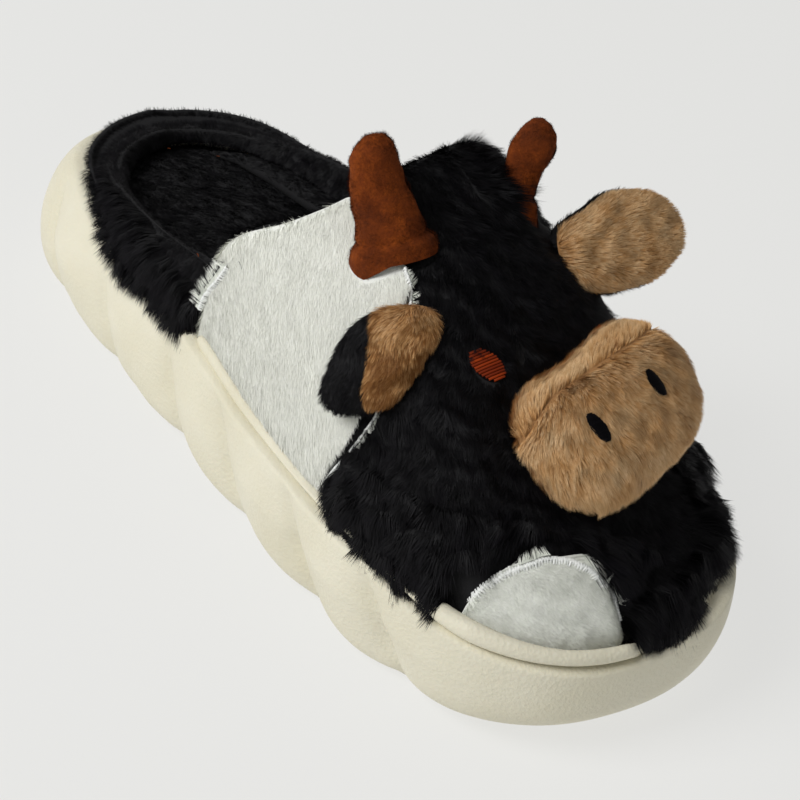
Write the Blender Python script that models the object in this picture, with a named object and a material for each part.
"""Animal slipper, right foot: a moulded cloud sole, an open heel and a stuffed cow-face vamp.

World frame: the origin is the centre of the heel's flat spot on the floor, the toe points
towards -Y, the wearer's right is -X and +Z is up. Sizes are millimetres, turned into metres
once, in add_solid.
"""
import math
from collections import namedtuple

import bpy

MM = 0.001

# Main sizes of the slipper, in millimetres
LENGTH = 270.0
BALL_WIDTH = 111.0
HEEL_SPOT = 0.155
FIT_GAP = 0.3

# Sole
STATION_COUNT = 58
FOOT_INSET = 8.0
LIP_WIDTH = 10.4
CUP_DRAFT = 1.5
LOBE_LEAN = 0.42
LOBE_ROUND = 0.62

# Piping, insole and upper
PIPING_WIDTH = 4.0
PIPING_HEIGHT = 5.0
PIPING_EDGE = 0.5
INSOLE_THICKNESS = 7.0
WALL = 3.4
THROAT_HEIGHT = 64.0
RIDGE_SHIFT = 3.0
SECTION_WIDE = 2.45
SECTION_TALL = 2.15
UPPER_ROWS = 20
UPPER_COLUMNS = 30

# Padded heel collar
COLLAR_WIDTH = 15.0
COLLAR_DROP = 5.0
COLLAR_STATIONS = 40

# Patches laid over the upper
PATCH_THICKNESS = 1.7
TOE_PATCH_RADIUS = 19.5
TOE_PATCH_SHARE = 0.938

# Face
MUZZLE_HALF_WIDTH = 26.5
MUZZLE_HALF_HEIGHT = 24.0
MUZZLE_FRONT = 13.0
MUZZLE_BACK = 6.5
MUZZLE_SQUARE = 2.5
MUZZLE_SHARE = 0.830
MUZZLE_TILT = 12.0
MUZZLE_SHIFT = 0.0
EYE_LENGTH = 9.5
EYE_WIDTH = 6.0
NOSTRIL_LENGTH = 9.0
NOSTRIL_WIDTH = 5.0
NOSTRIL_SPREAD = 11.0
NOSTRIL_SHIFT = -3.0
NOSTRIL_RISE = 2.0
EAR_LENGTH = 28.5
EAR_WIDTH = 28.0
EAR_LAYER = 2.8
EAR_LIFT = 3.05
HORN_BASE_RADIUS = 11.0
HORN_TIP_RADIUS = 6.0
HORN_FLAT = 0.62
HORN_CLEARANCE = 1.15
HORN_BEND = 3.0

# Outline of the sole's widest line, seen from above, all but share as shares of the ball width
# share: along the length from the heel; centre: middle line's X; right, left: half widths
Outline = namedtuple("Outline", "share centre right left")
OUTLINE = (
    Outline(0.000, 0.011, 0.000, 0.000),
    Outline(0.020, 0.010, 0.208, 0.198),
    Outline(0.080, 0.006, 0.380, 0.369),
    Outline(0.170, -0.001, 0.467, 0.455),
    Outline(0.300, -0.009, 0.480, 0.462),
    Outline(0.450, -0.016, 0.476, 0.442),
    Outline(0.600, -0.020, 0.499, 0.464),
    Outline(0.720, -0.019, 0.508, 0.492),
    Outline(0.830, -0.016, 0.486, 0.464),
    Outline(0.920, -0.014, 0.400, 0.374),
    Outline(0.975, -0.012, 0.257, 0.232),
    Outline(1.000, -0.012, 0.000, 0.000),
)

# What changes along the sole, in millimetres
# lift: underside above the floor; height: top of the side; edge: how far the top leans in
# floor: bottom of the cup that takes the insole
Station = namedtuple("Station", "share lift height edge floor")
STATIONS = (
    Station(0.00, 3.0, 40.0, 13.5, 27.5),
    Station(0.06, 0.0, 40.5, 12.5, 27.5),
    Station(0.25, 0.0, 40.5, 9.0, 27.0),
    Station(0.36, 2.5, 40.0, 6.0, 26.5),
    Station(0.47, 2.5, 39.5, 3.6, 25.5),
    Station(0.58, 0.0, 37.5, 2.2, 24.0),
    Station(0.78, 0.0, 36.0, 1.5, 22.5),
    Station(0.88, 2.5, 36.5, 1.5, 23.5),
    Station(0.95, 6.5, 38.0, 1.5, 25.0),
    Station(1.00, 10.0, 39.5, 1.5, 26.5),
)

# The sole's side from the floor up
# height: share of the side; foot: share of FOOT_INSET; lean: share of the edge; lobe: share
# of the notch depth
Side = namedtuple("Side", "height foot lean lobe")
SOLE_SIDE = (
    Side(0.00, 1.00, 0.00, 0.20),
    Side(0.06, 0.42, 0.00, 0.60),
    Side(0.16, 0.08, 0.00, 0.92),
    Side(0.33, 0.00, 0.00, 1.00),
    Side(0.52, 0.00, 0.12, 0.90),
    Side(0.70, 0.00, 0.38, 0.62),
    Side(0.86, 0.00, 0.70, 0.26),
    Side(0.96, 0.00, 0.93, 0.04),
    Side(1.00, 0.00, 1.10, 0.00),
)

# Notches between the lobes of the side: share of the length at the floor, depth in mm
Notch = namedtuple("Notch", "share depth")
NOTCHES = (
    Notch(0.182, 3.2),
    Notch(0.326, 4.6),
    Notch(0.471, 5.0),
    Notch(0.593, 5.0),
    Notch(0.724, 5.2),
    Notch(0.843, 5.6),
)

# The vamp's ridge from the toe tip (0) to the throat (1)
# reach: square root of the distance; height: share of THROAT_HEIGHT above the sole's side
Ridge = namedtuple("Ridge", "reach height")
RIDGE = (
    Ridge(0.00, 0.00),
    Ridge(0.15, 0.10),
    Ridge(0.30, 0.18),
    Ridge(0.50, 0.32),
    Ridge(0.62, 0.47),
    Ridge(0.74, 0.69),
    Ridge(0.86, 0.89),
    Ridge(1.00, 1.00),
)

# The throat's line round the section: angle from the right side's base, share of the length
Throat = namedtuple("Throat", "angle share")
THROAT = (
    Throat(0.0, 0.455),
    Throat(20.0, 0.458),
    Throat(31.0, 0.480),
    Throat(44.0, 0.524),
    Throat(64.0, 0.562),
    Throat(90.0, 0.572),
    Throat(116.0, 0.562),
    Throat(136.0, 0.524),
    Throat(149.0, 0.480),
    Throat(160.0, 0.458),
    Throat(180.0, 0.455),
)

# Front edge of the white side patch: angle round the section, share of the length
SIDE_PATCH_FRONT = (
    Throat(2.0, 0.692),
    Throat(22.0, 0.714),
    Throat(42.0, 0.704),
    Throat(64.0, 0.672),
)

# Section of the padded collar: in: share of its width, up: share of its height
Roll = namedtuple("Roll", "inward up")
COLLAR_ROLL = (
    Roll(0.00, 0.00),
    Roll(-0.04, 0.38),
    Roll(0.10, 0.74),
    Roll(0.34, 0.96),
    Roll(0.60, 1.00),
    Roll(0.84, 0.84),
    Roll(0.98, 0.50),
    Roll(1.00, 0.10),
)

# The collar from the heel (0) to the seam at the vamp (1): height above the sole's side, share
# of its width, and how far its outside stands in from the sole's edge
CollarRise = namedtuple("CollarRise", "run rise width base")
COLLAR_RISE = (
    CollarRise(0.00, 5.5, 1.00, 1.5),
    CollarRise(0.45, 6.5, 1.00, 1.5),
    CollarRise(0.75, 12.0, 0.86, 2.2),
    CollarRise(1.00, 23.0, 0.62, 5.4),
)

# Outline of an ear: share of its length from the root, half width as a share of EAR_WIDTH
Petal = namedtuple("Petal", "run half")
EAR_PETAL = (
    Petal(0.00, 0.34),
    Petal(0.12, 0.39),
    Petal(0.30, 0.46),
    Petal(0.52, 0.50),
    Petal(0.72, 0.47),
    Petal(0.88, 0.35),
    Petal(0.97, 0.18),
)

# A horn from root to tip: run along it, girth as a share from the tip's to the base's radius
Horn = namedtuple("Horn", "run girth")
HORN = (
    Horn(0.00, 1.14),
    Horn(0.13, 1.12),
    Horn(0.17, 0.94),
    Horn(0.40, 0.66),
    Horn(0.65, 0.32),
    Horn(0.84, 0.02),
    Horn(0.95, -0.50),
)

# Where the eyes, horns and ears stand: angle round the section, share of the length
EYE_PLACE = Throat(69.0, 0.764)
HORN_PLACE = Throat(67.0, 0.628)
EAR_PLACE = Throat(57.0, 0.699)

# How each ear hangs: side (-1 right, 1 left), its direction and its front's direction
# fold: where its back part turns over, from the middle in mm; radius: of that fold; most: its
# largest turn in degrees
Ear = namedtuple("Ear", "name side along front fold radius most")
EARS = (
    Ear("right", -1, (-0.72, 0.05, -0.68), (-0.55, -0.45, 0.70), 0.0, 5.2, 130.0),
    Ear("left", 1, (0.93, -0.16, 0.10), (-0.16, -0.60, 0.78), 6.0, 30.0, 30.0),
)

# How each horn leans
HornLean = namedtuple("HornLean", "name side length lean")
HORNS = (
    HornLean("right", -1, 29.0, (-0.24, 0.12, 0.96)),
    HornLean("left", 1, 26.0, (-0.02, -0.22, 0.96)),
)

# Materials: base colour (linear), roughness, metallic
MATERIALS = {
    "moulded_foam": ((0.81, 0.75, 0.60, 1.0), 0.72, 0.0),
    "black_plush": ((0.014, 0.013, 0.016, 1.0), 0.95, 0.0),
    "white_plush": ((0.72, 0.74, 0.72, 1.0), 0.95, 0.0),
    "tan_plush": ((0.50, 0.31, 0.14, 1.0), 0.95, 0.0),
    "brown_felt": ((0.25, 0.055, 0.008, 1.0), 0.90, 0.0),
    "black_thread": ((0.010, 0.010, 0.012, 1.0), 0.60, 0.0),
    "orange_thread": ((0.50, 0.065, 0.008, 1.0), 0.60, 0.0),
}


def clear_scene():
    for thing in list(bpy.data.objects):
        bpy.data.objects.remove(thing, do_unlink=True)


def table_value(rows, column, key):
    """Smooth value of a column at a key, with no overshoot between the rows."""
    keys = [row[0] for row in rows]
    values = [getattr(row, column) for row in rows]
    last = len(rows) - 1
    if key <= keys[0]:
        return values[0]
    if key >= keys[last]:
        return values[last]
    slopes = [(values[i + 1] - values[i]) / (keys[i + 1] - keys[i]) for i in range(last)]
    tangents = [slopes[0]]
    for i in range(1, last):
        product = slopes[i - 1] * slopes[i]
        both = slopes[i - 1] + slopes[i]
        tangents.append(2.0 * product / both if product > 0.0 else 0.0)
    tangents.append(slopes[-1])
    index = max(i for i in range(last) if keys[i] <= key)
    span = keys[index + 1] - keys[index]
    part = (key - keys[index]) / span
    square = part * part
    cube = square * part
    return (
        (2.0 * cube - 3.0 * square + 1.0) * values[index]
        + (cube - 2.0 * square + part) * span * tangents[index]
        + (3.0 * square - 2.0 * cube) * values[index + 1]
        + (cube - square) * span * tangents[index + 1]
    )


def along(share):
    """Y of a share of the length counted from the heel."""
    return (HEEL_SPOT - share) * LENGTH


def share_at(y):
    return HEEL_SPOT - y / LENGTH


def station(share, column):
    return table_value(STATIONS, column, share)


def closed_curve(points, steps):
    """Closed Catmull-Rom curve through the points, spaced by the root of their distances."""
    curve = []
    count = len(points)
    for i in range(count):
        corner = [points[(i + k - 1) % count] for k in range(4)]
        knots = [0.0]
        for k in range(3):
            knots.append(knots[k] + math.sqrt(math.dist(corner[k], corner[k + 1])))
        for step in range(steps):
            at = knots[1] + (knots[2] - knots[1]) * step / steps
            layer = corner
            for width in (1, 2, 3):
                merged = []
                for k in range(len(layer) - 1):
                    low, high = knots[k], knots[k + width]
                    if width == 3:
                        low, high = knots[1], knots[2]
                    elif width == 2:
                        low, high = knots[k], knots[k + 2]
                    part = (at - low) / (high - low)
                    merged.append(tuple(
                        a + (b - a) * part for a, b in zip(layer[k], layer[k + 1])
                    ))
                layer = merged
            curve.append(layer[0])
    return curve


def outline_curve():
    """Dense outline of the sole's widest line: down the right side, up the left side."""
    right = [((row.centre - row.right) * BALL_WIDTH, along(row.share)) for row in OUTLINE]
    left = [((row.centre + row.left) * BALL_WIDTH, along(row.share)) for row in OUTLINE[1:-1]]
    return closed_curve(right + left[::-1], 24)


def curve_normals(curve):
    """Outward unit normals of a closed curve that runs anticlockwise seen from above."""
    normals = []
    count = len(curve)
    for i in range(count):
        before, after = curve[i - 1], curve[(i + 1) % count]
        dx, dy = after[0] - before[0], after[1] - before[1]
        size = math.hypot(dx, dy)
        normals.append((dy / size, -dx / size))
    return normals


def inset_curve(extra):
    """The outline moved in by the edge's lean plus an extra inset."""
    moved = []
    for point, normal in zip(WIDEST, WIDEST_NORMALS):
        inset = station(share_at(point[1]), "edge") + extra
        moved.append((point[0] - normal[0] * inset, point[1] - normal[1] * inset))
    return moved


def half_width(curve, y, side):
    """X where a closed curve crosses a Y on one side (-1 right, 1 left)."""
    best = None
    count = len(curve)
    for i in range(count):
        a, b = curve[i], curve[(i + 1) % count]
        if (a[1] - y) * (b[1] - y) > 0.0 or a[1] == b[1]:
            continue
        x = a[0] + (b[0] - a[0]) * (y - a[1]) / (b[1] - a[1])
        if best is None or side * x > side * best:
            best = x
    return best


def station_shares():
    """Shares of the length spaced evenly along the right side's outline."""
    half = WIDEST[: len(WIDEST) // 2 + 1]
    runs = [0.0]
    for a, b in zip(half, half[1:]):
        runs.append(runs[-1] + math.dist(a, b))
    shares = []
    index = 0
    for step in range(STATION_COUNT + 1):
        goal = runs[-1] * step / STATION_COUNT
        while index < len(runs) - 2 and runs[index + 1] < goal:
            index += 1
        part = (goal - runs[index]) / (runs[index + 1] - runs[index])
        y = half[index][1] + (half[index + 1][1] - half[index][1]) * part
        shares.append(share_at(y))
    return shares


def perimeter():
    """Points and normals round the outline: heel, right side, toe, left side."""
    shares = station_shares()
    ys = [along(share) for share in shares]
    marks = [(half_width(WIDEST, y, -1), y) for y in ys]
    marks[0] = WIDEST[0]
    marks[-1] = WIDEST[len(WIDEST) // 2]
    marks += [(half_width(WIDEST, y, 1), y) for y in ys[-2:0:-1]]
    return marks, curve_normals(marks)


def lobe_depth(share, height):
    """How far the side is pressed in at a share of the length and a height above the floor."""
    at = share + LOBE_LEAN * height / LENGTH
    edges = [Notch(NOTCHES[0].share - 0.15, 0.0)] + list(NOTCHES)
    edges.append(Notch(NOTCHES[-1].share + 0.16, 0.0))
    if at <= edges[0].share or at >= edges[-1].share:
        return 0.0
    for low, high in zip(edges, edges[1:]):
        if at <= high.share:
            part = (at - low.share) / (high.share - low.share)
            depth = low.depth + (high.depth - low.depth) * part
            return depth * (1.0 - math.sin(math.pi * part) ** LOBE_ROUND)
    return 0.0


def ring(extra, rise):
    """Closed ring at an inset from the sole's edge and a rise above its side."""
    points = []
    for point, normal in zip(ROUND, ROUND_NORMALS):
        share = share_at(point[1])
        inset = station(share, "edge") + extra
        x = point[0] - normal[0] * inset
        y = point[1] - normal[1] * inset
        points.append((x, y, rise(share_at(y))))
    return points


def material(name):
    known = bpy.data.materials.get(name)
    if known:
        return known
    colour, roughness, metallic = MATERIALS[name]
    made = bpy.data.materials.new(name)
    made.use_nodes = True
    shader = made.node_tree.nodes["Principled BSDF"]
    shader.inputs["Base Color"].default_value = colour
    shader.inputs["Roughness"].default_value = roughness
    shader.inputs["Metallic"].default_value = metallic
    made.diffuse_color = colour
    return made


def add_solid(name, points, faces, surface):
    """One closed solid from points in millimetres."""
    mesh = bpy.data.meshes.new(name)
    mesh.from_pydata([tuple(c * MM for c in p) for p in points], [], faces)
    mesh.validate()
    mesh.polygons.foreach_set("use_smooth", [True] * len(mesh.polygons))
    mesh.materials.append(material(surface))
    solid = bpy.data.objects.new(name, mesh)
    COLLECTION.objects.link(solid)
    bpy.context.view_layer.objects.active = solid
    solid.select_set(True)
    bpy.ops.object.mode_set(mode="EDIT")
    bpy.ops.mesh.select_all(action="SELECT")
    bpy.ops.mesh.normals_make_consistent(inside=False)
    bpy.ops.object.mode_set(mode="OBJECT")
    solid.select_set(False)
    return solid


def bands(first, second, count):
    """Quads between two closed rings of the same count."""
    return [
        (first + i, first + (i + 1) % count, second + (i + 1) % count, second + i)
        for i in range(count)
    ]


def strip_cap(first, count):
    """Flat-across cap of a ring: strips from the right side to the left side."""
    half = count // 2
    faces = [(first, first + 1, first + count - 1)]
    for i in range(1, half - 1):
        faces.append((first + i, first + i + 1, first + count - i - 1, first + count - i))
    faces.append((first + half - 1, first + half, first + half + 1))
    return faces


def ring_stack(name, rings, surface):
    """Solid from closed rings stacked bottom to top, its ends closed by strips."""
    count = len(rings[0])
    points = [point for one in rings for point in one]
    faces = []
    for i in range(len(rings) - 1):
        faces += bands(i * count, (i + 1) * count, count)
    faces += strip_cap(0, count)
    faces += strip_cap((len(rings) - 1) * count, count)
    return add_solid(name, points, faces, surface)


def build_sole():
    rings = []
    for row in SOLE_SIDE:
        points = []
        for point, normal in zip(ROUND, ROUND_NORMALS):
            share = share_at(point[1])
            lift = station(share, "lift")
            z = lift + row.height * (station(share, "height") - lift)
            inset = row.foot * FOOT_INSET + row.lean * station(share, "edge")
            inset += row.lobe * lobe_depth(share, z)
            points.append((point[0] - normal[0] * inset, point[1] - normal[1] * inset, z))
        rings.append(points)
    rings.append(ring(LIP_WIDTH, lambda share: station(share, "height")))
    rings.append(ring(LIP_WIDTH + CUP_DRAFT, lambda share: station(share, "floor")))
    return ring_stack("sole", rings, "moulded_foam")


def build_piping():
    """Rounded strip on the rim of the sole's side, from seam to seam round the vamp."""
    path = [i for i, point in enumerate(ROUND) if share_at(point[1]) > THROAT[0].share]
    corners = 6
    points = []
    for index in path:
        point, normal = ROUND[index], ROUND_NORMALS[index]
        share = share_at(point[1])
        for corner in range(corners):
            turn = math.radians(360.0 * corner / corners - 90.0)
            across = PIPING_WIDTH * (0.5 + 0.5 * math.cos(turn)) + PIPING_EDGE
            inset = station(share, "edge") + across
            up = FIT_GAP + PIPING_HEIGHT * (0.5 + 0.5 * math.sin(turn))
            x = point[0] - normal[0] * inset
            y = point[1] - normal[1] * inset
            points.append((x, y, station(share, "height") + up))
    faces = []
    for k in range(len(path) - 1):
        faces += bands(k * corners, (k + 1) * corners, corners)
    faces.append(tuple(range(corners)))
    faces.append(tuple((len(path) - 1) * corners + i for i in range(corners)))
    return add_solid("piping", points, faces, "moulded_foam")


def build_insole():
    """Plush footbed in the sole's cup, with a soft rounded edge."""
    edge = LIP_WIDTH + CUP_DRAFT + FIT_GAP
    rows = (
        (edge + 0.6, 0.0),
        (edge - 0.2, 0.6 * INSOLE_THICKNESS),
        (edge + 0.6, 0.88 * INSOLE_THICKNESS),
        (edge + 3.0, INSOLE_THICKNESS),
    )
    rings = [
        ring(inset, lambda share, up=up: station(share, "floor") + FIT_GAP + up)
        for inset, up in rows
    ]
    return ring_stack("insole", rings, "black_plush")


def vamp_frame(grow):
    """Plan curve and toe tip of the vamp's surface, grown outwards."""
    seat = PIPING_EDGE + PIPING_WIDTH + FIT_GAP
    curve = inset_curve(seat + PATCH_THICKNESS + FIT_GAP - grow)
    tip = min(point[1] for point in curve)
    return curve, tip


def vamp_section(frame, y, grow):
    """Ridge X, base height, ridge height and the two half widths of the vamp at a Y."""
    curve, tip = frame
    y = max(y, tip)
    base = station(share_at(y), "height") + FIT_GAP
    reach = math.sqrt(max(0.0, (y - tip) / (throat_y(90.0) - tip)))
    height = THROAT_HEIGHT * table_value(RIDGE, "height", reach) + grow
    height *= min(1.0, reach * 12.0)
    right = half_width(curve, y, -1)
    left = half_width(curve, y, 1)
    ridge = 0.5 * (right + left) + RIDGE_SHIFT * min(1.0, reach)
    return ridge, base, height, ridge - right, left - ridge


def vamp_point(frame, angle, y, grow):
    """Point of the vamp's surface: angle 0 is the right base, 90 the ridge, 180 the left."""
    ridge, base, height, right, left = vamp_section(frame, y, grow)
    turn = math.radians(angle)
    across = abs(math.cos(turn)) ** (2.0 / SECTION_WIDE)
    up = max(0.0, math.sin(turn)) ** (2.0 / SECTION_TALL)
    x = ridge - right * across if angle <= 90.0 else ridge + left * across
    return (x, max(y, frame[1]), base + height * up)


def vamp_over(frame, x, y, grow):
    """Point of the vamp's surface above a place in the plan."""
    ridge, base, height, right, left = vamp_section(frame, y, grow)
    wide = right if x <= ridge else left
    across = min(1.0, abs(x - ridge) / max(wide, 0.001)) ** (SECTION_WIDE / 2.0)
    up = math.sqrt(1.0 - across * across) ** (2.0 / SECTION_TALL)
    return (x, y, base + height * up)


def throat_y(angle):
    return along(table_value(THROAT, "share", angle))


def vamp_sheet(grow, starts, ends, angles, rows):
    """Grid of the vamp's surface: one row per step from the starts to the ends."""
    frame = vamp_frame(grow)
    grid = []
    for row in range(rows + 1):
        part = row / rows
        line = []
        for angle, start, end in zip(angles, starts, ends):
            y = start + (end - start) * part
            line.append(vamp_point(frame, angle, y, grow))
        grid.append(line)
    return grid


def section_angles(count):
    """Angles round the section, closer together near the bases."""
    return [90.0 - 90.0 * math.cos(math.pi * i / count) for i in range(count + 1)]


def build_upper():
    """Hollow vamp: an outer and an inner skin joined at the throat and along the base."""
    angles = section_angles(UPPER_COLUMNS)
    throat = [throat_y(angle) for angle in angles]
    points = []
    skins = []
    for grow in (0.0, -WALL):
        frame = vamp_frame(grow)
        tip = frame[1]
        rows = []
        for row in range(UPPER_ROWS):
            left = (1.0 - row / UPPER_ROWS) ** 1.7
            line = []
            for angle, start in zip(angles, throat):
                line.append(len(points))
                points.append(vamp_point(frame, angle, tip + (start - tip) * left, grow))
            rows.append(line)
        rows.append([len(points)] * len(angles))
        points.append(vamp_point(frame, 90.0, tip, grow))
        skins.append(rows)
    faces = []
    outer, inner = skins
    last = len(angles) - 1
    for rows in (outer, inner):
        for low, high in zip(rows, rows[1:]):
            for i in range(last):
                faces.append((low[i], low[i + 1], high[i + 1], high[i]))
    for i in range(last):
        faces.append((outer[0][i], outer[0][i + 1], inner[0][i + 1], inner[0][i]))
    for end in (0, last):
        for k in range(UPPER_ROWS):
            faces.append((outer[k][end], outer[k + 1][end], inner[k + 1][end], inner[k][end]))
    faces = [tuple(dict.fromkeys(face)) for face in faces]
    return add_solid("upper", points, faces, "black_plush")


def slab(name, low, high, surface):
    """Closed slab between two grids of the same shape."""
    rows, columns = len(low), len(low[0])
    points = [point for grid in (low, high) for line in grid for point in line]
    half = rows * columns
    faces = []
    for start in (0, half):
        for r in range(rows - 1):
            for c in range(columns - 1):
                at = start + r * columns + c
                faces.append((at, at + 1, at + columns + 1, at + columns))
    rim = list(range(columns))
    rim += [r * columns + columns - 1 for r in range(1, rows)]
    rim += [(rows - 1) * columns + c for c in range(columns - 2, -1, -1)]
    rim += [r * columns for r in range(rows - 2, 0, -1)]
    for a, b in zip(rim, rim[1:] + rim[:1]):
        faces.append((a, b, b + half, a + half))
    return add_solid(name, points, faces, surface)


def build_side_patch():
    """White panel over the vamp's right side, from the throat forward."""
    last = SIDE_PATCH_FRONT[-1].angle
    angles = [2.0 + (last - 2.0) * i / 12 for i in range(13)]
    starts = [throat_y(angle) - 1.5 for angle in angles]
    ends = [along(table_value(SIDE_PATCH_FRONT, "share", angle)) for angle in angles]
    low = vamp_sheet(FIT_GAP, starts, ends, angles, 9)
    high = vamp_sheet(FIT_GAP + PATCH_THICKNESS, starts, ends, angles, 9)
    return slab("side_patch", low, high, "white_plush")


def build_toe_patch():
    """Half-round white patch that stands on the sole's rim at the toe's right side."""
    low, high = [], []
    for grow, grid in ((FIT_GAP, low), (FIT_GAP + PATCH_THICKNESS, high)):
        frame = vamp_frame(grow)
        curve = frame[0]
        half = curve[: len(curve) // 2 + 1]
        middle = min(half, key=lambda point: abs(share_at(point[1]) - TOE_PATCH_SHARE))
        for row in range(8):
            rise = 0.97 * TOE_PATCH_RADIUS * row / 7 + 0.6
            spread = math.sqrt(max(0.0, 1.0 - (rise / (TOE_PATCH_RADIUS + 0.8)) ** 2))
            depth = rise * rise / (rise + 7.0)
            line = []
            for column in range(13):
                arc = TOE_PATCH_RADIUS * spread * (column / 6.0 - 1.0)
                spot, inward = curve_walk(curve, middle, arc)
                x = spot[0] + inward[0] * depth
                y = spot[1] + inward[1] * depth
                line.append(vamp_over(frame, x, y, grow))
            grid.append(line)
    return slab("toe_patch", low, high, "white_plush")


def curve_walk(curve, start, arc):
    """Point and inward normal of a closed curve an arc length away from one of its points."""
    index = curve.index(start)
    count = len(curve)
    step = 1 if arc >= 0.0 else -1
    left = abs(arc)
    while True:
        a, b = curve[index % count], curve[(index + step) % count]
        size = math.dist(a, b)
        if size >= left:
            part = left / size
            spot = (a[0] + (b[0] - a[0]) * part, a[1] + (b[1] - a[1]) * part)
            return spot, (-step * (b[1] - a[1]) / size, step * (b[0] - a[0]) / size)
        left -= size
        index += step


def build_collar():
    """Padded roll round the open heel, from the vamp's right seam to its left seam."""
    seam = THROAT[0].share - FIT_GAP / LENGTH - 0.001
    count = len(WIDEST)
    right = [i for i in range(count // 2) if share_at(WIDEST[i][1]) < seam]
    left = [i for i in range(count // 2, count) if share_at(WIDEST[i][1]) < seam]
    path = right[::-1] + left[::-1]
    picks = [path[round(k * (len(path) - 1) / COLLAR_STATIONS)] for k in range(COLLAR_STATIONS + 1)]
    rings = []
    for k, index in enumerate(picks):
        run = abs(2.0 * k / COLLAR_STATIONS - 1.0)
        rise = table_value(COLLAR_RISE, "rise", run)
        width = COLLAR_WIDTH * table_value(COLLAR_RISE, "width", run)
        point, normal = WIDEST[index], WIDEST_NORMALS[index]
        share = share_at(point[1])
        outer = table_value(COLLAR_RISE, "base", run)
        seat = LIP_WIDTH + 2.0 * FIT_GAP - outer
        outer += station(share, "edge")
        section = [(row.inward * width, row.up * rise) for row in COLLAR_ROLL]
        section.append((width, -COLLAR_DROP))
        section.append((seat + 0.8, -COLLAR_DROP))
        section.append((seat, 0.0))
        line = []
        for inward, up in section:
            inset = outer + inward
            y = point[1] - normal[1] * inset
            z = station(share_at(y), "height") + FIT_GAP + up
            line.append((point[0] - normal[0] * inset, y, z))
        rings.append(line)
    size = len(rings[0])
    points = [point for one in rings for point in one]
    faces = []
    for k in range(len(rings) - 1):
        faces += bands(k * size, (k + 1) * size, size)
    faces.append(tuple(range(size)))
    faces.append(tuple((len(rings) - 1) * size + i for i in range(size)))
    return add_solid("heel_collar", points, faces, "black_plush")


def add(a, b, scale=1.0):
    return tuple(p + q * scale for p, q in zip(a, b))


def cross(a, b):
    return (
        a[1] * b[2] - a[2] * b[1],
        a[2] * b[0] - a[0] * b[2],
        a[0] * b[1] - a[1] * b[0],
    )


def unit(a):
    size = math.sqrt(sum(c * c for c in a))
    return tuple(c / size for c in a)


def mirrored(angle, side):
    return angle if side < 0 else 180.0 - angle


def disc(name, spot, half_across, half_tall, tilt, thick, surface):
    """Thin domed oval laid on a surface: spot(p, q, grow) gives the surface's points."""
    turn = math.radians(tilt)
    segments = 18
    points = []
    for grow in (FIT_GAP, FIT_GAP + thick):
        points.append(spot(0.0, 0.0, grow))
        for size, sink in ((0.62, 0.1), (1.0, 0.55)):
            for k in range(segments):
                at = 2.0 * math.pi * k / segments
                a = half_across * size * math.cos(at)
                b = half_tall * size * math.sin(at)
                p = a * math.cos(turn) - b * math.sin(turn)
                q = a * math.sin(turn) + b * math.cos(turn)
                down = sink * thick if grow > FIT_GAP else 0.0
                points.append(spot(p, q, grow - down))
    layer = 1 + 2 * segments
    faces = []
    for start in (0, layer):
        for k in range(segments):
            after = (k + 1) % segments
            faces.append((start, start + 1 + k, start + 1 + after))
        faces += bands(start + 1, start + 1 + segments, segments)
    faces += bands(1 + segments, layer + 1 + segments, segments)
    return add_solid(name, points, faces, surface)


def build_eyes():
    for name, side in (("eye_right", -1), ("eye_left", 1)):
        angle = mirrored(EYE_PLACE.angle, side)
        y = along(EYE_PLACE.share)
        frame = vamp_frame(0.0)
        low = vamp_point(frame, angle - 1.0, y, 0.0)
        high = vamp_point(frame, angle + 1.0, y, 0.0)
        turn_per_mm = 2.0 / math.dist(low, high)

        def spot(p, q, grow, angle=angle, y=y, turn_per_mm=turn_per_mm):
            return vamp_point(vamp_frame(grow), angle + p * turn_per_mm, y + q, grow)

        disc(name, spot, 0.5 * EYE_WIDTH, 0.5 * EYE_LENGTH, -22.0 * side, 1.2, "orange_thread")


def muzzle_frame():
    """Centre, up-the-slope and outward directions of the muzzle's middle plane."""
    y = along(MUZZLE_SHARE)
    frame = vamp_frame(0.0)
    seat = vamp_point(frame, 90.0, y, 0.0)
    above = vamp_point(frame, 90.0, y + 6.0, 0.0)
    below = vamp_point(frame, 90.0, y - 6.0, 0.0)
    up = unit((0.0, above[1] - below[1], above[2] - below[2]))
    out = (0.0, -up[2], up[1])
    centre = add((MUZZLE_SHIFT, seat[1], seat[2]), out, MUZZLE_BACK + FIT_GAP + 0.4)
    return centre, up, out


def muzzle_point(frame, across, rise, depth):
    """Point of the muzzle from its own axes, turned by the face's tilt."""
    centre, up, out = frame
    turn = math.radians(MUZZLE_TILT)
    x = across * math.cos(turn) - rise * math.sin(turn)
    along_up = across * math.sin(turn) + rise * math.cos(turn)
    return add(add(add(centre, (1.0, 0.0, 0.0), x), up, along_up), out, depth)


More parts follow.
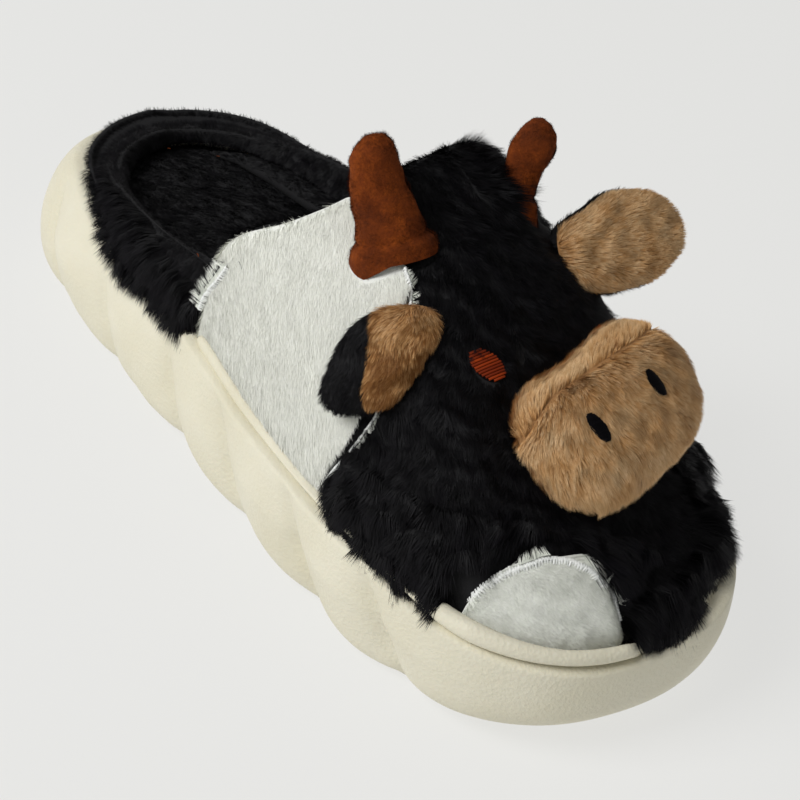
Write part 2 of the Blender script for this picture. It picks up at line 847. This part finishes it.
def build_muzzle():
    """Stuffed oval muzzle, a flattened pillow lying on the vamp's slope."""
    frame = muzzle_frame()
    segments = 28
    rows = (-66.0, -40.0, -20.0, 0.0, 18.0, 34.0, 50.0, 66.0, 78.0)
    points = [muzzle_point(frame, 0.0, 0.0, -MUZZLE_BACK)]
    for row in rows:
        turn = math.radians(row)
        girth = math.cos(turn) ** (2.0 / MUZZLE_SQUARE)
        depth = abs(math.sin(turn)) ** (2.0 / MUZZLE_SQUARE)
        depth *= MUZZLE_FRONT if row > 0.0 else -MUZZLE_BACK
        for k in range(segments):
            at = 2.0 * math.pi * k / segments
            x = MUZZLE_HALF_WIDTH * girth * math.cos(at)
            rise = MUZZLE_HALF_HEIGHT * girth * math.sin(at)
            points.append(muzzle_point(frame, x, rise, depth))
    points.append(muzzle_point(frame, 0.0, 0.0, MUZZLE_FRONT))
    faces = [(0, 1 + k, 1 + (k + 1) % segments) for k in range(segments)]
    for row in range(len(rows) - 1):
        faces += bands(1 + row * segments, 1 + (row + 1) * segments, segments)
    top = len(points) - 1
    start = top - segments
    faces += [(start + k, start + (k + 1) % segments, top) for k in range(segments)]
    return add_solid("muzzle", points, faces, "tan_plush")


def build_nostrils():
    frame = muzzle_frame()

    def front(x, rise, grow):
        size = math.hypot(x / MUZZLE_HALF_WIDTH, rise / MUZZLE_HALF_HEIGHT)
        depth = MUZZLE_FRONT * (1.0 - size ** MUZZLE_SQUARE) ** (1.0 / MUZZLE_SQUARE)
        return muzzle_point(frame, x, rise, depth + grow + 0.25)

    for name, side in (("nostril_right", -1), ("nostril_left", 1)):
        def spot(p, q, grow, side=side):
            return front(side * NOSTRIL_SPREAD + NOSTRIL_SHIFT + p, NOSTRIL_RISE + q, grow)

        wide, long = 0.5 * NOSTRIL_WIDTH, 0.5 * NOSTRIL_LENGTH
        disc(name, spot, wide, long, -14.0 * side, 1.0, "black_thread")


def vamp_spot(place, side, lift):
    """Point off the vamp's surface, straight out from a place on it."""
    frame = vamp_frame(0.0)
    angle = mirrored(place.angle, side)
    y = along(place.share)
    point = vamp_point(frame, angle, y, 0.0)
    around = add(vamp_point(frame, angle + 1.0, y, 0.0), point, -1.0)
    ahead = add(vamp_point(frame, angle, y - 1.0, 0.0), point, -1.0)
    normal = unit(cross(ahead, around))
    return add(point, normal, lift if normal[2] > 0.0 else -lift)


def build_horns():
    for horn in HORNS:
        lean = unit(horn.lean)
        root = vamp_spot(HORN_PLACE, horn.side, 1.0)
        side_way = unit(cross(lean, (0.0, -1.0, 0.0)))
        ahead = unit(cross(side_way, lean))
        segments = 16
        points = []
        for row in HORN:
            radius = HORN_TIP_RADIUS + (HORN_BASE_RADIUS - HORN_TIP_RADIUS) * row.girth
            bend = HORN_BEND * row.run * row.run
            middle = add(add(root, lean, horn.length * row.run), ahead, -bend)
            for k in range(segments):
                at = 2.0 * math.pi * k / segments
                out = add(
                    tuple(c * radius * math.cos(at) for c in side_way),
                    ahead,
                    radius * HORN_FLAT * math.sin(at),
                )
                spot = add(middle, out)
                if row.run == 0.0:
                    spot = seat_on_vamp(spot, lean, horn.side)
                elif row.run < 0.15:
                    spot = add(seat_on_vamp(spot, lean, horn.side), lean, 6.0)
                points.append(spot)
        points.append(add(add(root, lean, horn.length), ahead, -HORN_BEND))
        points.append(seat_on_vamp(root, lean, horn.side))
        top = len(points) - 2
        start = top - segments
        faces = [(k, (k + 1) % segments, top + 1) for k in range(segments)]
        for row in range(len(HORN) - 1):
            faces += bands(row * segments, (row + 1) * segments, segments)
        faces += [(start + k, start + (k + 1) % segments, top) for k in range(segments)]
        add_solid("horn_" + horn.name, points, faces, "brown_felt")


def cover(side):
    """Thickness of what lies over the upper on one side: only the right has a patch."""
    return FIT_GAP + PATCH_THICKNESS if side < 0 else 0.0


def seat_on_vamp(spot, lean, side):
    """Slide a point along a direction until it lies just off the vamp's plush."""
    grow = cover(side) + HORN_CLEARANCE
    frame = vamp_frame(grow)
    low, high = -30.0, 40.0
    for _ in range(26):
        middle = 0.5 * (low + high)
        trial = add(spot, lean, middle)
        surface = vamp_over(frame, trial[0], trial[1], grow)
        if trial[2] > surface[2]:
            high = middle
        else:
            low = middle
    return add(spot, lean, high)


def off_vamp(spot, way, grow):
    """Push a point along a direction until it is clear of the vamp's grown surface."""
    frame = vamp_frame(grow)
    for _ in range(240):
        surface = vamp_over(frame, spot[0], spot[1], grow)
        base = surface[2] if surface[2] > station(share_at(spot[1]), "height") + 2.0 else -1.0
        if spot[2] >= base:
            break
        spot = add(spot, way, 0.1)
    return spot


def ear_sheet(ear):
    """Middle surface of an ear: a petal whose back part turns over its front."""
    along_ear = unit(ear.along)
    across = unit(cross(ear.front, along_ear))
    front = unit(cross(along_ear, across))
    clear = cover(ear.side) + EAR_LIFT
    root = vamp_spot(EAR_PLACE, ear.side, clear)
    sheet = []
    for row in EAR_PETAL:
        line = []
        for column in range(13):
            flat = EAR_WIDTH * row.half * (column / 6.0 - 1.0)
            raised = 0.0
            if flat < -ear.fold:
                run = -ear.fold - flat
                turn = min(run / ear.radius, math.radians(ear.most))
                rest = run - turn * ear.radius
                flat = -ear.fold - ear.radius * math.sin(turn) - rest * math.cos(turn)
                raised = ear.radius * (1.0 - math.cos(turn)) + rest * math.sin(turn)
            spot = add(root, along_ear, EAR_LENGTH * row.run)
            spot = add(add(spot, across, flat), front, raised)
            line.append(off_vamp(spot, front, clear))
        sheet.append(line)
    return sheet, front


def sheet_normals(sheet, front):
    """Unit normals of a grid, on the side of a direction near its last column."""
    rows, columns = len(sheet), len(sheet[0])
    normals = []
    for r in range(rows):
        line = []
        for c in range(columns):
            up = add(sheet[min(r + 1, rows - 1)][c], sheet[max(r - 1, 0)][c], -1.0)
            over = add(sheet[r][min(c + 1, columns - 1)], sheet[r][max(c - 1, 0)], -1.0)
            line.append(unit(cross(up, over)))
        normals.append(line)
    middle = normals[rows // 2][columns - 2]
    if sum(a * b for a, b in zip(middle, front)) < 0.0:
        normals = [[tuple(-n for n in normal) for normal in line] for line in normals]
    return normals


def build_ears():
    """Each ear is a tan front and a black back, two curved petals face to face."""
    for ear in EARS:
        sheet, front = ear_sheet(ear)
        normals = sheet_normals(sheet, front)
        for name, way, surface in (("front", 1.0, "tan_plush"), ("back", -1.0, "black_plush")):
            low, high = [], []
            for row, line, ups in zip(EAR_PETAL, sheet, normals):
                low_line, high_line = [], []
                for column, (spot, normal) in enumerate(zip(line, ups)):
                    part = column / 6.0 - 1.0
                    plump = 1.0 - 0.72 * max(abs(part), row.run) ** 4
                    near = 0.5 * FIT_GAP + 0.05
                    low_line.append(add(spot, normal, near * way))
                    high_line.append(add(spot, normal, (near + EAR_LAYER * plump) * way))
                low.append(low_line)
                high.append(high_line)
            slab("ear_" + name + "_" + ear.name, low, high, surface)


def main():
    build_sole()
    build_piping()
    build_insole()
    build_upper()
    build_collar()
    build_side_patch()
    build_toe_patch()
    build_muzzle()
    build_nostrils()
    build_eyes()
    build_horns()
    build_ears()


clear_scene()
COLLECTION = bpy.data.collections.new("animal_slipper")
bpy.context.scene.collection.children.link(COLLECTION)
WIDEST = outline_curve()
WIDEST_NORMALS = curve_normals(WIDEST)
ROUND, ROUND_NORMALS = perimeter()
main()
